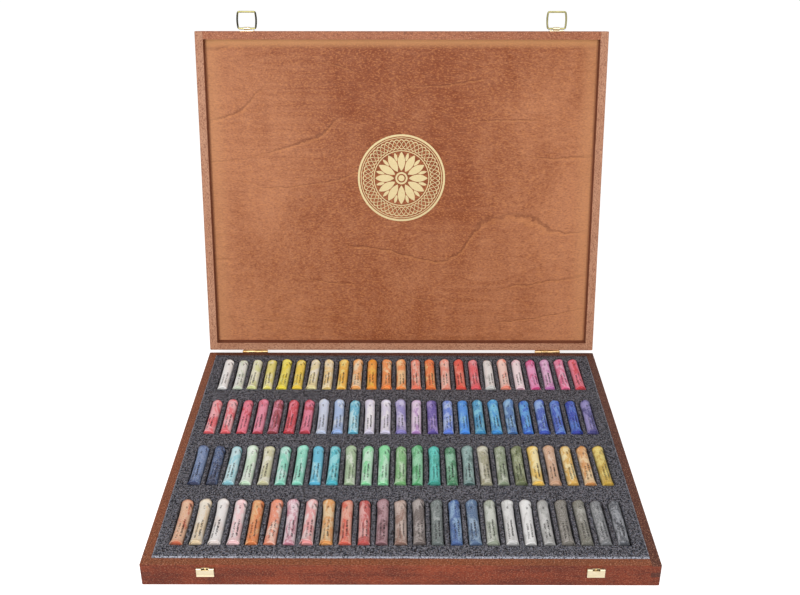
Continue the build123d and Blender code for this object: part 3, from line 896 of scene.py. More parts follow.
# --------------------------------------------------------------------------------------------- foam
@dataclass
class FoamBed:
    """The foam pad and the die-cut insert on it, with a pocket for each stick."""

    sticks: Sequence[Stick]
    foam: CellularFoam = CellularFoam("grey_foam", "84838b", "060608")
    side_play: float = 1.5 * MM
    end_play: float = 2.0 * MM
    pocket_corner: float = 3.0 * MM
    lip: float = 0.7 * MM
    pull_in: float = 0.12 * MM
    lump: float = 0.07 * MM
    pad_edge: float = 1.5 * MM
    short_samples: int = 12
    long_samples: int = 30

    def make(self) -> list[bpy.types.Object]:
        """Makes the pad and the insert.

        Returns:
            Both pieces.
        """
        low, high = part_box("foam_insert")
        material = self.foam.material(((high.x - low.x) / 2, (high.y - low.y) / 2))
        made = []
        for name, maker in (("foam_insert", self._insert), ("foam_base_pad", self._pad)):
            piece = maker(name + "_soft", *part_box(name))
            dress(piece, material)
            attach(piece, "base")
            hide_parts(name)
            made.append(piece)
        return made

    def _insert(self, name: str, low: Vector, high: Vector) -> bpy.types.Object:
        """Tiles the insert with one ring-shaped cell for each pocket.

        A cell's rings go from its border over the top, round the pocket's lip, down the pocket's
        wall and back to the border underneath, each a blend of the border and the pocket's outline.

        Args:
            name: The object's name.
            low: The insert's lowest corner.
            high: Its highest corner.

        Returns:
            The insert.
        """
        columns = sorted({round(stick.x, 6) for stick in self.sticks})
        rows = sorted({round(stick.y, 6) for stick in self.sticks})
        x_cuts = [low.x, *[(a + b) / 2 for a, b in zip(columns, columns[1:])], high.x]
        y_cuts = [low.y, *[(a + b) / 2 for a, b in zip(rows, rows[1:])], high.y]
        stick = self.sticks[0]
        half = (stick.radius + self.side_play, stick.length / 2 + self.end_play)
        sides = self._square_samples()
        cells = []
        for i, x in enumerate(columns):
            for j, y in enumerate(rows):
                outer = self._rectangle(sides, x_cuts[i : i + 2], y_cuts[j : j + 2])
                inner = self._pocket(sides, x, y, half)
                cells.append(self._cell(outer, inner, low.z, high.z))
        points = np.stack(cells)
        faces = grid_faces(points.shape[1], points.shape[2], False, True, len(cells))
        skirt = self._skirt(x_cuts, y_cuts, low, high)
        start = points.size // 3
        every_point = np.concatenate([points.reshape(-1, 3), skirt.reshape(-1, 3)])
        every_face = np.concatenate([faces, grid_faces(*skirt.shape[:2], False, True) + start])
        return mesh_object(name, every_point, every_face, weld=0.02 * MM)

    def _eased(self, samples: int) -> Array:
        """Steps from -1 towards 1 that follow a sine, so that they are closer at both ends."""
        return np.sin(np.linspace(-0.5, 0.5, samples + 1)[:-1] * np.pi)

    def _square_samples(self) -> Array:
        """Points round a square from -1 to 1, counter-clockwise, closer together at its corners.

        Returns:
            The points.
        """
        short, tall = self._eased(self.short_samples), self._eased(self.long_samples)
        sides = ((short, -1.0), (1.0, tall), (-short, 1.0), (-1.0, -tall))
        return np.concatenate([np.stack(np.broadcast_arrays(*side), 1) for side in sides])

    def _rectangle(self, square: Array, x_ends: Sequence[float], y_ends: Sequence[float]) -> Array:
        """The square's points stretched to a rectangle between two values of X and two of Y."""
        low, high = np.array([x_ends, y_ends]).T
        return square * (high - low) / 2 + (low + high) / 2

    def _pocket(self, square: Array, x: float, y: float, half: tuple[float, float]) -> Array:
        """The pocket's rounded outline, each point pulled from the rectangle onto the corner's arc.

        Args:
            square: Points round a square from -1 to 1.
            x: The pocket's middle in X.
            y: The pocket's middle in Y.
            half: Half of its width and of its length.

        Returns:
            A point for each of the square's.
        """
        sharp, straight = square * np.array(half), np.array(half) - self.pocket_corner
        core = np.clip(sharp, -straight, straight)
        away = sharp - core
        length = np.maximum(np.linalg.norm(away, axis=1, keepdims=True), 1e-9)
        return core + away / length * self.pocket_corner + np.array([x, y])

    def _lumps(self, points: Array) -> Array:
        """How far the foam's top stands proud: two crossed sines and a slanted one."""
        x, y = points[..., 0], points[..., 1]
        return (np.sin(x * 210) * np.sin(y * 170) + np.sin(x * 90 + y * 61)) * self.lump

    def _cell(self, outer: Array, inner: Array, bottom: float, top: float) -> Array:
        """One cell's rings. The top crowns a little between the pockets and the wall pulls in.

        Args:
            outer: The cell's border.
            inner: The pocket's outline, with as many points.
            bottom: The height of the insert's underside.
            top: The height of its top.

        Returns:
            The rings, one after another.
        """
        away = outer - inner
        away = away / np.maximum(np.linalg.norm(away, axis=1, keepdims=True), 1e-9)
        depth = top - bottom
        rings = [(outer, top)]
        rings += [(inner * share + outer * (1 - share), top) for share in (0.35, 0.7)]
        for angle in np.linspace(0, np.pi / 2, 5):
            over = inner + away * self.lip * (1 - math.sin(angle))
            rings.append((over, top - self.lip * (1 - math.cos(angle))))
        rings.append((inner - away * self.pull_in, top - depth * 0.55))
        rings += [(inner, bottom), (outer, bottom)]
        cell = np.stack([np.column_stack([ring, np.full(len(ring), z)]) for ring, z in rings])
        cell[..., 2] += self._lumps(cell) * ((cell[..., 2] - bottom) / depth)
        return cell

    def _border(self, cuts: Sequence[float], samples: int) -> Array:
        """Places along one side of the insert from cut to cut, closer together at the cuts."""
        share = self._eased(samples) / 2 + 0.5
        return np.concatenate([a + share * (b - a) for a, b in zip(cuts, cuts[1:])])

    def _skirt(
        self, x_cuts: Sequence[float], y_cuts: Sequence[float], low: Vector, high: Vector
    ) -> Array:
        """The insert's outer sides: its border points at the bottom and again at the top.

        Args:
            x_cuts: Where the cells meet in X, with both ends.
            y_cuts: Where they meet in Y, with both ends.
            low: The insert's lowest corner.
            high: Its highest corner.

        Returns:
            The two rows of points.
        """
        sides = (
            (self._border(x_cuts, self.short_samples), low.y),
            (high.x, self._border(y_cuts, self.long_samples)),
            (self._border(x_cuts[::-1], self.short_samples), high.y),
            (low.x, self._border(y_cuts[::-1], self.long_samples)),
        )
        border = np.concatenate([np.stack(np.broadcast_arrays(*side), 1) for side in sides])
        bottom = np.column_stack([border, np.full(len(border), low.z)])
        return np.stack([bottom, np.column_stack([border, high.z + self._lumps(border)])])

    def _pad(self, name: str, low: Vector, high: Vector) -> bpy.types.Object:
        """Makes the pad as rings of a rounded rectangle, from the middle below to the middle above.

        Args:
            name: The object's name.
            low: The pad's lowest corner.
            high: Its highest corner.

        Returns:
            The pad.
        """
        middle = (low + high) / 2
        half = np.array([high.x - low.x, high.y - low.y]) / 2
        square = self._square_samples()
        soft = self.pad_edge
        quarter = np.linspace(0, np.pi / 2, 4)
        shares = 1 - soft * (1 - np.sin(quarter)) / half[1]
        below = list(zip(shares, low.z + soft * (1 - np.cos(quarter))))
        above = [(share, high.z + low.z - z) for share, z in reversed(below)]
        levels = [(0.0, low.z), (0.5, low.z), *below, *above, (0.5, high.z), (0.0, high.z)]
        count = len(square)
        rings = [np.column_stack([square * half * s, np.full(count, z)]) for s, z in levels]
        points = np.stack(rings) + np.array([middle.x, middle.y, 0.0])
        faces = grid_faces(len(levels), len(square), False, True)
        return mesh_object(name, points, faces, weld=0.001 * MM)


# ------------------------------------------------------------------------------------------ pastels
class Pigment(Enum):
    """The pigments of the set, as the bare stick shows them."""

    WHITE = "f4f2ee"
    GREENISH_WHITE = "dce6cf"
    LIME_CREAM = "dfe39a"
    PRIMROSE = "e9dd62"
    LEMON = "f2dc1c"
    CADMIUM_YELLOW = "f7d42c"
    CREAM = "efe3a6"
    NAPLES = "f1cf7c"
    GOLDEN = "f6b61e"
    APRICOT = "f6ad5a"
    AMBER = "f79a08"
    TANGERINE = "f78f34"
    ORANGE = "f2701c"
    SALMON = "f2795a"
    VERMILION = "e9432a"
    CORAL = "e8505a"
    SILVER = "cfcdca"
    PEACH = "f28c72"
    BLUSH = "f0aec2"
    MAGENTA = "d92f7f"
    ORCHID = "c76cb4"
    ROSE = "e2588a"
    CRIMSON = "d0182e"
    CARMINE = "c11a38"
    MAROON = "920a20"
    ICE = "c9d4ea"
    POWDER_BLUE = "9fbce8"
    AQUA = "4cb8d8"
    LILAC_WHITE = "d9d4ea"
    LAVENDER = "897fc4"
    MAUVE = "b07cc2"
    PURPLE = "543ba0"
    PERIWINKLE = "5378da"
    SKY = "2a88e8"
    TEAL = "1a8ac0"
    CYAN = "1c8cd4"
    STEEL_BLUE = "2864aa"
    CERULEAN = "0b5bcc"
    COBALT = "1844b8"
    ULTRAMARINE = "0528a6"
    VIOLET = "2a2478"
    NAVY = "0d1f52"
    INDIGO = "06143c"
    PALE_AQUA = "8fd0dc"
    CELADON = "c3e0c2"
    KHAKI = "c9c59a"
    MINT = "7fd6bc"
    TURQUOISE = "35b4c4"
    SAGE = "98b48a"
    SPRING = "78d494"
    PISTACHIO = "74b46e"
    EMERALD = "389e58"
    VIRIDIAN = "069280"
    LEAF = "2d7a4c"
    PINE = "254c48"
    OCHRE_CREAM = "979374"
    OLIVE_KHAKI = "798768"
    OLIVE = "5b6638"
    HONEY = "e9bf4c"
    SHELL = "c89c7a"
    OCHRE = "d9a63a"
    ORANGE_OCHRE = "d08a3c"
    MUSTARD = "c09a20"
    RUST = "c45626"
    SAND = "dcc39c"
    PUTTY = "ddcfc8"
    BLOSSOM = "ecc0c2"
    BURNT_ORANGE = "d9742c"
    TERRACOTTA = "e2805c"
    OLD_ROSE = "b9687c"
    FLESH = "e08c8a"
    RED_EARTH = "d0492c"
    INDIAN_RED = "b83a34"
    MULBERRY = "653038"
    SIENNA = "845d4c"
    UMBER = "574944"
    MOSS_GREY = "5a6462"
    SLATE_BLUE = "234e8e"
    STORM = "375880"
    PALE_SAGE = "8c9480"
    CLOUD = "bcbbb9"
    WARM_GREY = "6d675e"
    OLIVE_GREY = "6b685c"
    GREY = "686a6d"
    BLUE_GREY = "32363f"
    FOG = "9a9996"


# Row by row from the rear, each stick's pigment and how much of it the paper has taken on, of 9.
CHART: tuple[str, ...] = (
    "WHITE:5 GREENISH_WHITE:4 LIME_CREAM:5 PRIMROSE:5 LEMON:7 CADMIUM_YELLOW:6 CREAM:4 NAPLES:5"
    " GOLDEN:6 APRICOT:5 AMBER:9 TANGERINE:5 TANGERINE:6 SALMON:6 ORANGE:7 PEACH:7 VERMILION:8"
    " CORAL:7 SILVER:4 PEACH:5 BLUSH:3 MAGENTA:5 ORCHID:6 ROSE:6 CRIMSON:6",
    "CORAL:6 CORAL:5 CRIMSON:6 CARMINE:5 MAROON:4 CRIMSON:5 CARMINE:6 ICE:6 POWDER_BLUE:6 AQUA:4"
    " LILAC_WHITE:4 LILAC_WHITE:7 LAVENDER:7 MAUVE:4 PURPLE:7 PERIWINKLE:6 SKY:7 TEAL:6 CYAN:7"
    " STEEL_BLUE:6 CERULEAN:7 COBALT:5 COBALT:8 ULTRAMARINE:8 VIOLET:6",
    "NAVY:6 INDIGO:8 PALE_AQUA:7 CELADON:6 KHAKI:6 MINT:6 MINT:7 AQUA:6 TURQUOISE:7 SAGE:5"
    " SPRING:6 SPRING:7 PISTACHIO:7 EMERALD:7 VIRIDIAN:7 LEAF:7 PINE:6 OCHRE_CREAM:7 OLIVE_KHAKI:7"
    " OLIVE:8 HONEY:6 SHELL:8 OCHRE:5 ORANGE_OCHRE:6 MUSTARD:8",
    "RUST:5 SAND:6 PUTTY:4 BLOSSOM:5 BURNT_ORANGE:8 TERRACOTTA:5 OLD_ROSE:3 FLESH:4 ORANGE_OCHRE:6"
    " RED_EARTH:6 INDIAN_RED:5 MULBERRY:7 SIENNA:6 UMBER:7 MOSS_GREY:8 SLATE_BLUE:6 STORM:7"
    " PALE_SAGE:6 CLOUD:6 CLOUD:3 FOG:8 WARM_GREY:8 OLIVE_GREY:8 GREY:8 BLUE_GREY:6",
)


@dataclass(frozen=True)
class Stick:
    """One pastel: where it lies, its size and its colours.

    Its paper has taken on some of the pigment, up to MOST_TAKEN_ON, and is greyed by a painted
    shade for its row, from 0 to 1, heaviest in the front row. The names in capitals are the
    attributes of its meshes and the paper's own values.
    """

    PIGMENT = "pigment"
    WRAPPER = "wrapper"
    SMUDGE = "smudge"
    CHANCE = "chance"
    NEW_PAPER = "fdfcfb"
    MOST_TAKEN_ON = 9
    PAINTED_SHADE_DEPTH = 0.13

    x: float
    y: float
    z: float
    radius: float
    length: float
    pigment: Pigment
    taken_on: float
    painted_shade: float
    seed: int

    @property
    def bare(self) -> Array:
        """The pigment's colour."""
        return np.array(paint(self.pigment.value))

    @property
    def wrapped(self) -> Array:
        """The paper's colour: white paper, greyed by a painted shade, under a stain of what it took
        on.
        """
        stain = self.bare ** (0.05 + 0.047 * self.taken_on)
        return np.array(paint(self.NEW_PAPER)) * (1 - self.PAINTED_SHADE_DEPTH * self.painted_shade) * stain


@dataclass
class StickMaker:
    """Shapes the pigment and the paper of a few sticks at once."""

    around: int = 32
    paper_rings: int = 34
    core_rings: int = 8
    paper: float = 0.4 * MM
    most_turn: float = math.radians(1.0)
    most_bend: float = 0.35 * MM
    slide: tuple[float, float] = (0.5 * MM, 1.6 * MM)
    pigment_gap: float = 0.6 * MM
    worn: float = 1.0 * MM
    shoulder: tuple[float, float] = (25 * MM, 28 * MM)
    neck: float = 0.84
    trimmed: float = 1.4 * MM
    long_tear: tuple[float, float] = (0.2 * MM, 0.9 * MM)
    short_tear: tuple[float, float] = (0.0, 0.4 * MM)
    flare: tuple[float, float] = (0.17, 0.13)
    waist: tuple[float, float] = (-0.022, 0.012)
    dent: tuple[float, float] = (0.02, 0.2)

    def lay(self, stick: Stick, along: Array, radius: Array, angle: Array) -> Array:
        """Turns lengths, radii and angles of one stick into points.

        A point lies at its radius round the stick's line, which turns a little to one side, bends
        in a shallow arc and rises where the stick is thicker, so that it always rests on the pad.

        Args:
            stick: The stick.
            along: The distance from its middle, towards the rear.
            radius: The distance from its line.
            angle: The angle round it, from the top towards +X.

        Returns:
            The points.
        """
        chance = np.random.default_rng(stick.seed)
        turn = chance.uniform(-1, 1) * self.most_turn
        bend = chance.uniform(-1, 1) * self.most_bend
        shift = chance.uniform(-1, 1) * self.most_bend
        slide = -chance.uniform(*self.slide)
        widest = np.maximum(radius.max(axis=-1, keepdims=True), stick.radius * 0.9)
        arc = bend * (1 - (2 * along / stick.length) ** 2)
        middle_x = stick.x + shift + along * math.sin(turn) + arc
        middle_z = stick.z - stick.radius + widest
        x = middle_x + radius * np.sin(angle)
        y = stick.y + slide + along * math.cos(turn)
        z = middle_z + radius * np.cos(angle)
        return np.stack(np.broadcast_arrays(x, y, z), axis=-1)

    def _turn(self) -> Array:
        """The angles round a stick, as one row."""
        return np.linspace(0, 2 * np.pi, self.around, endpoint=False)[None, :]

    def core(self, stick: Stick) -> Array:
        """The pigment: a round bar with worn ends, closed by a point at each end's middle.

        Its far end, beyond the shoulder, was rubbed thinner in use.

        Args:
            stick: The stick.

        Returns:
            The points.
        """
        chance = np.random.default_rng(stick.seed + 1)
        bare = stick.radius - self.pigment_gap
        half = stick.length / 2 * chance.uniform(0.965, 0.99)
        angle = self._turn()
        quarter = np.linspace(0, np.pi / 2, self.core_rings)[:, None]
        ends = -half + self.worn * (1 - np.sin(quarter))
        radii = bare - self.worn * (1 - np.cos(np.pi / 2 - quarter))
        near_along = np.concatenate([np.full((1, 1), -half), ends])
        near_radius = np.concatenate([np.zeros((1, 1)), radii])
        rough = np.sin(angle * 3 + chance.uniform(0, 6)) * np.cos(angle * 5 + chance.uniform(0, 6))
        shoulder, necked = np.array(self.shoulder)[:, None], np.array([[bare], [bare * self.neck]])
        along = np.concatenate([near_along, shoulder, -near_along[::-1]])
        radius = np.concatenate([near_radius, necked, near_radius[::-1] * self.neck])
        radius = radius * (1 + 0.018 * rough)
        return self.lay(stick, np.broadcast_to(along, radius.shape), radius, angle)

    def sleeve(self, stick: Stick) -> tuple[Array, Array]:
        """The paper: out along its outer side and back inside, a closed thin tube with torn ends.

        Its radius flares towards one or both ends and creases in low waves round and along it.

        Args:
            stick: The stick.

        Returns:
            The points, and each point's place round and along the paper.
        """
        chance = np.random.default_rng(stick.seed + 2)
        angle = self._turn()
        s = np.linspace(-1, 1, self.paper_rings)[:, None]
        s = np.sign(s) * np.abs(s) ** 0.8
        half = stick.length / 2 - chance.uniform(0.0, self.trimmed, 2)
        along = s * np.where(s < 0, *half)
        tear = chance.uniform(*self.long_tear) * np.sin(angle * 2 + chance.uniform(0, 6))
        frays = chance.uniform(*self.short_tear) * np.sin(angle * 5 + chance.uniform(0, 6))
        along = along + (tear + frays) * s**6 * np.sign(s)
        flare = chance.uniform(0, 1, 2) * np.array(self.flare)
        lopsided = 1 + 0.5 * np.sin(angle + chance.uniform(0, 6)) + 0.25 * np.sin(3 * angle)
        widen = np.where(s < 0, *flare) * np.abs(s) ** 4 * lopsided
        waist = chance.uniform(*self.waist) * np.cos(np.pi * s * 0.8 + chance.uniform(-1, 1))
        phases = chance.uniform(0, 2 * np.pi, 6)
        creases = 0.011 * np.sin(2 * angle + 3.1 * s + phases[0])
        crossed = np.sin(3 * angle - 7 * s + phases[1]) * np.sin(5 * s + phases[2])
        creases = creases + 0.008 * crossed + 0.006 * np.sin(7 * angle + 11 * s + phases[3])
        dent = np.exp(-(((s - 0.86) / 0.05) ** 2)) * np.maximum(np.sin(angle + 0.3), 0)
        dent = dent * chance.uniform(*self.dent)
        outer = stick.radius * (1 + widen + waist - dent + creases * (0.6 + 0.8 * np.abs(s)))
        inner = outer - self.paper * 0.9
        pick = np.arange(self.paper_rings - 1, -1, -3)
        radius = np.concatenate([outer, inner[pick]])
        length = np.concatenate([along, along[pick]])
        points = self.lay(stick, length, radius, angle)
        wrapped_angle = np.where(angle > np.pi, angle - 2 * np.pi, angle)
        place = np.stack(np.broadcast_arrays(wrapped_angle * stick.radius, length), axis=-1)
        return points, place


@dataclass
class PastelSet:
    """All the sticks, in the groups that the frame moves together."""

    maker: StickMaker = field(default_factory=StickMaker)
    chalk: Chalk = Chalk("pigment_chalk")
    paper: WrappingPaper = WrappingPaper("wrapping_paper")
    in_group: int = 5
    # Painted shade: the front rows' paper is greyed, standing for the light falling off towards the
    # front.
    row_painted_shade: tuple[float, ...] = (0.0, 0.0, 0.2, 1.0)

    def sticks(self) -> dict[tuple[int, int], list[Stick]]:
        """Works out each stick's place and size from its group's box.

        Returns:
            The sticks of each row and group, both counted from 1.
        """
        found = {}
        for row, line in enumerate(CHART, start=1):
            entries = [entry.split(":") for entry in line.split()]
            for group in range(1, len(entries) // self.in_group + 1):
                low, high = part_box(f"pastels_row_{row}_group_{group}")
                radius = (high.z - low.z) / 2
                pitch = (high.x - low.x - 2 * radius) / (self.in_group - 1)
                first = (group - 1) * self.in_group
                found[row, group] = [
                    Stick(
                        x=low.x + radius + n * pitch,
                        y=(low.y + high.y) / 2,
                        z=(low.z + high.z) / 2,
                        radius=radius,
                        length=high.y - low.y,
                        pigment=Pigment[entries[first + n][0]],
                        taken_on=float(entries[first + n][1]),
                        painted_shade=self.row_painted_shade[row - 1],
                        seed=1000 * row + 10 * (first + n),
                    )
                    for n in range(self.in_group)
                ]
        return found

    def make(self, groups: Mapping[tuple[int, int], Sequence[Stick]]) -> None:
        """Makes each group's pigment and paper.

        Args:
            groups: The sticks of each row and group.
        """
        chalk, paper = self.chalk.material(), self.paper.material()
        for (row, group), sticks in groups.items():
            node = f"pastels_row_{row}_group_{group}"
            core = self._cores(node + "_pigment", sticks)
            sleeves = self._sleeves(node + "_paper", sticks)
            for piece, material in ((core, chalk), (sleeves, paper)):
                dress(piece, material)
                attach(piece, f"pastels_{row}_{group}")
            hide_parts(node)
            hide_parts(node)
            log.info("%s: %d sticks", node, len(sticks))

    def _cores(self, name: str, sticks: Sequence[Stick]) -> bpy.types.Object:
        """Makes the pigment of a group's sticks as one mesh.

        Args:
            name: The object's name.
            sticks: The group's sticks.

        Returns:
            The piece.
        """
        points = np.stack([self.maker.core(stick) for stick in sticks])
        _, rows, columns, _ = points.shape
        faces = grid_faces(rows, columns, False, True, len(sticks))
        colours = np.repeat([stick.bare for stick in sticks], rows * columns, axis=0)
        return mesh_object(name, points, faces, 0.001 * MM, {Stick.PIGMENT: colours})

    def _sleeves(self, name: str, sticks: Sequence[Stick]) -> bpy.types.Object:
        """Makes the paper of a group's sticks as one mesh, with its coordinates and colours.

        Args:
            name: The object's name.
            sticks: The group's sticks.

        Returns:
            The piece.
        """
        shapes = [self.maker.sleeve(stick) for stick in sticks]
        points = np.stack([points for points, _ in shapes])
        places = np.stack([place for _, place in shapes]).reshape(-1, 2)
        _, rows, columns, _ = points.shape
        faces = grid_faces(rows, columns, True, True, len(sticks))
        chances = [np.random.default_rng(stick.seed + 3).uniform(0, 1, 2) for stick in sticks]
        stains = [stick.taken_on / Stick.MOST_TAKEN_ON for stick in sticks]
        each = {
            Stick.PIGMENT: [stick.bare for stick in sticks],
            Stick.WRAPPER: [stick.wrapped for stick in sticks],
            Stick.SMUDGE: [0.65 * stain + 0.35 * luck for stain, (luck, _) in zip(stains, chances)],
            Stick.CHANCE: [chance for _, chance in chances],
        }
        count = rows * columns
        layers = {layer: np.repeat(values, count, axis=0) for layer, values in each.items()}
        made = mesh_object(name, points, faces, layers=layers)
        self._unwrap(made, places)
        return made

    def _unwrap(self, piece: bpy.types.Object, places: Array) -> None:
        """Stores the surface coordinates, keeping faces on the seam underneath in one piece.

        Args:
            piece: The papers.
            places: The place round and along the paper of each point.
        """
        mesh = piece.data
        corner_points = np.empty(len(mesh.loops), np.int32)
        mesh.loops.foreach_get("vertex_index", corner_points)
        uv = places[corner_points].reshape(-1, 4, 2)
        around = uv[:, :, 0]
        turn = 2 * np.abs(places[:, 0]).max()
        wrap = (np.ptp(around, axis=1) > turn / 2)[:, None] & (around < 0)
        around += np.where(wrap, turn, 0.0)
        layer = mesh.uv_layers.new(name="UVMap")
        layer.data.foreach_set("uv", uv.astype(np.float32).ravel())


# ----------------------------------------------------------------------------------------- ornament
@dataclass
class Rosette:
    """A plain geometric rosette in gold foil, a little above the middle of the lid's panel."""

    lid: LidAxes
    foil: GoldFoil = GoldFoil("gold_foil", "c6b486")
    radius: float = 60 * MM
    thickness: float = 0.12 * MM
    panel: float = 4 * MM
    above_middle: float = 24 * MM
    samples: int = 480
    spokes: int = 12
    rings: tuple[tuple[float, float], ...] = (
        (0.955, 1.0),
        (0.915, 0.93),
        (0.62, 0.64),
        (0.10, 0.14),
        (0.004, 0.07),
    )
    wave: tuple[float, float, float] = (0.775, 0.105, 0.011)
    long_petal: tuple[float, float, float] = (0.17, 0.60, 0.085)
    short_petal: tuple[float, float, float] = (0.40, 0.60, 0.035)

    def make(self) -> bpy.types.Object:
        """Makes the rosette's rings, waves and petals as one thin piece.

        All of their sizes are shares of the rosette's radius: each ring's inner and outer radius,
        the waves' middle, swing and half width, and each petal's start, end and half width.

        Returns:
            The rosette.
        """
        turn = np.linspace(0, 2 * np.pi, self.samples, endpoint=False)
        r = self.radius
        one = np.ones_like(turn)
        bands = [(inner * r * one, outer * r * one) for inner, outer in self.rings]
        middle, swing, half = self.wave
        for phase in (0.0, np.pi / 2, np.pi, 3 * np.pi / 2):
            wave = (middle + swing * np.sin(self.spokes * turn + phase)) * r
            bands.append((wave - half * r, wave + half * r))
        spokes = 2 * np.pi * np.arange(self.spokes) / self.spokes
        petals = [self._petal(spoke, *self.long_petal) for spoke in spokes]
        petals += [self._petal(spoke, *self.short_petal) for spoke in spokes + np.pi / len(spokes)]
        shapes = [(self._band(turn, *band), True) for band in bands]
        shapes += [(petal, False) for petal in petals]
        points, faces, start = [], [], 0
        for shape, closed in shapes:
            points.append(shape.reshape(-1, 3))
            faces.append(grid_faces(*shape.shape[:2], closed, True) + start)
            start += shape.size // 3
        made = mesh_object("lid_rosette", np.concatenate(points), np.concatenate(faces), 0.001 * MM)
        made.data.polygons.foreach_set("use_smooth", np.zeros(len(made.data.polygons), bool))
        dress(made, self.foil.material())
        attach(made, "lid")
        return made

    def _surface(self, across: Array, up: Array, lift: Array) -> Array:
        """Points on the panel's face.

        Args:
            across: How far each lies along X from the rosette's middle.
            up: How far it lies up the lid from there.
            lift: How far it stands proud of the panel, towards the front.

        Returns:
            The points.
        """
        low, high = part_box("lid_panel")
        face = (low + high) / 2 - self.lid.back * (self.panel / 2)
        middle = np.array(face + self.lid.up * self.above_middle)
        directions = np.array([(1.0, 0.0, 0.0), self.lid.up, -self.lid.back])
        return middle + np.stack([across, up, lift], axis=-1) @ directions

    def _band(self, angle: Array, inner: Array, outer: Array) -> Array:
        """A closed band between two radii, a thin rectangle carried round the circle.

        Args:
            angle: The angles round the circle.
            inner: The inner radius at each.
            outer: The outer radius at each.

        Returns:
            Four points for each angle.
        """
        radius = np.stack([outer, outer, inner, inner], axis=1)
        lift = np.array([0.0, 1.0, 1.0, 0.0]) * self.thickness * np.ones_like(radius)
        turn = angle[:, None]
        return self._surface(radius * np.sin(turn), radius * np.cos(turn), lift)

    def _petal(self, angle: float, start: float, end: float, width: float) -> Array:
        """A pointed leaf along a spoke, its width a sine between its two points.

        Args:
            angle: The spoke's angle.
            start: Where the leaf starts, as a share of the rosette's radius.
            end: Where it ends, likewise.
            width: Half of its greatest width, likewise.

        Returns:
            Four points for each place along the leaf.
        """
        t = np.linspace(0, 1, 24)[:, None]
        r = self.radius
        side = np.array([-1.0, -1.0, 1.0, 1.0]) * width * r * np.sin(np.pi * t) ** 0.8
        spoke = (start + (end - start) * t) * r
        lift = np.array([0.0, 1.0, 1.0, 0.0]) * self.thickness * np.ones_like(side)
        across = spoke * math.sin(angle) + side * math.cos(angle)
        up = spoke * math.cos(angle) - side * math.sin(angle)
        return self._surface(across, up, lift)


# ------------------------------------------------------------------------------------------- studio
@dataclass(frozen=True)
class Lamp:
    """A large soft lamp: where it hangs, the point it faces, its square panel's side, its watts."""

    name: str
    place: tuple[float, float, float]
    aim: tuple[float, float, float]
    side: float
    power: float

    def hang(self) -> None:
        """Adds the lamp to the scene."""
        light = bpy.data.lights.new(self.name, "AREA")
        light.size = self.side
        light.energy = self.power
        lamp = bpy.data.objects.new(self.name, light)
        lamp.location = self.place
        facing = Vector(self.place) - Vector(self.aim)
        lamp.rotation_euler = facing.to_track_quat("Z", "Y").to_euler()
        bpy.context.scene.collection.objects.link(lamp)


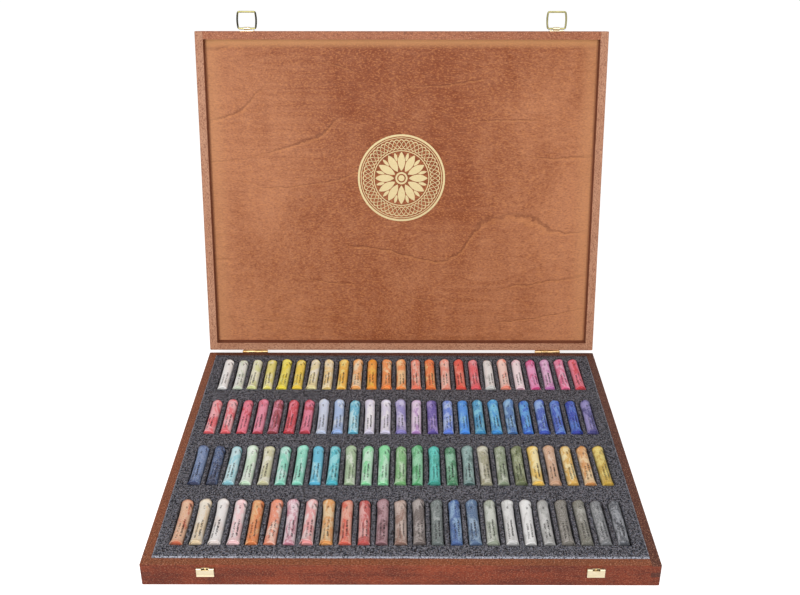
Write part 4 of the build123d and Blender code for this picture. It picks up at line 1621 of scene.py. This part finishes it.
@dataclass
class Studio:
    """The pale floor, the soft light and the camera at the photograph's viewpoint."""

    camera_place: tuple[float, float, float] = (0.0019, -1.0413, 0.7611)
    pitch_down: float = math.radians(27.12)
    turn_left: float = math.radians(0.168)
    focal_pixels: float = 1023.3
    frame_pixels: float = 800.0
    sensor: float = 36.0
    white: str = "ffffff"
    floor_paper: str = "eeeeee"
    floor_glow: float = 0.67
    floor_reach: float = 9.0
    floor_drop: float = 0.4 * MM
    daylight: float = 0.38
    lamps: tuple[Lamp, ...] = (
        Lamp("key_light", (-0.25, -1.65, 0.9), (0, 0.05, 0.1), 1.0, 25.0),
        Lamp("fill_light", (0.2, -1.2, 1.7), (0, 0.05, 0.15), 1.2, 12.0),
    )

    def make(self) -> None:
        """Builds the studio."""
        self._camera()
        self._floor()
        self._world()
        for lamp in self.lamps:
            lamp.hang()
        bpy.context.scene.view_settings.view_transform = "Standard"

    def _camera(self) -> None:
        """Sets the camera as the photograph was taken."""
        lens = bpy.data.cameras.new("camera")
        lens.sensor_width = self.sensor
        lens.lens = self.focal_pixels / self.frame_pixels * self.sensor
        lens.clip_end = 50
        camera = bpy.data.objects.new("camera", lens)
        camera.location = self.camera_place
        camera.rotation_euler = Euler((math.pi / 2 - self.pitch_down, 0, self.turn_left))
        bpy.context.scene.collection.objects.link(camera)
        bpy.context.scene.camera = camera

    def _floor(self) -> None:
        """Lays a floor that keeps the shadow and is white to the eye and to polished metal."""
        corners = np.array([[-1, -1], [1, -1], [1, 1], [-1, 1]]) * self.floor_reach
        points = np.column_stack([corners, np.full(4, -self.floor_drop)])
        floor = mesh_object("floor", points, np.array([[0, 1, 2, 3]]))
        shader = Shader("floor_paper")
        strength = shader.seen() * self.floor_glow
        paper = shader.node("BsdfDiffuse", None, {"Color": paint(self.floor_paper)})
        glow = shader.node("Emission", None, {"Color": paint(self.white), "Strength": strength})
        both = shader.node("AddShader", None, {0: paper.outputs[0], 1: glow.outputs[0]})
        shader.node("OutputMaterial", None, {0: both.outputs[0]})
        dress(floor, shader.owner)

    def _world(self) -> None:
        """Surrounds everything with white light, plain for matt surfaces and full when seen."""
        shader = Shader("studio_white", of_world=True)
        plain, full = (
            shader.node("Background", None, {"Color": paint(self.white), "Strength": strength})
            for strength in (self.daylight, 1.0)
        )
        inputs = {0: shader.seen(), 1: plain.outputs[0], 2: full.outputs[0]}
        shader.node("OutputWorld", None, {0: shader.node("MixShader", None, inputs).outputs[0]})
        bpy.context.scene.world = shader.owner


def main() -> None:
    """Loads the frame, dresses it and builds the studio."""
    logging.basicConfig(level=logging.INFO, format="%(name)s: %(message)s")
    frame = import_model()
    lid = LidAxes.from_joints(frame["joints"])
    Woodwork(frame["nodes"], lid).dress()
    log.info("woodwork dressed")
    Hardware(frame["nodes"]).dress()
    log.info("hardware dressed")
    pastels = PastelSet()
    groups = pastels.sticks()
    FoamBed([stick for sticks in groups.values() for stick in sticks]).make()
    log.info("foam laid")
    pastels.make(groups)
    Rosette(lid).make()
    log.info("rosette pressed")
    Studio().make()


if __name__ == "__main__":
    main()
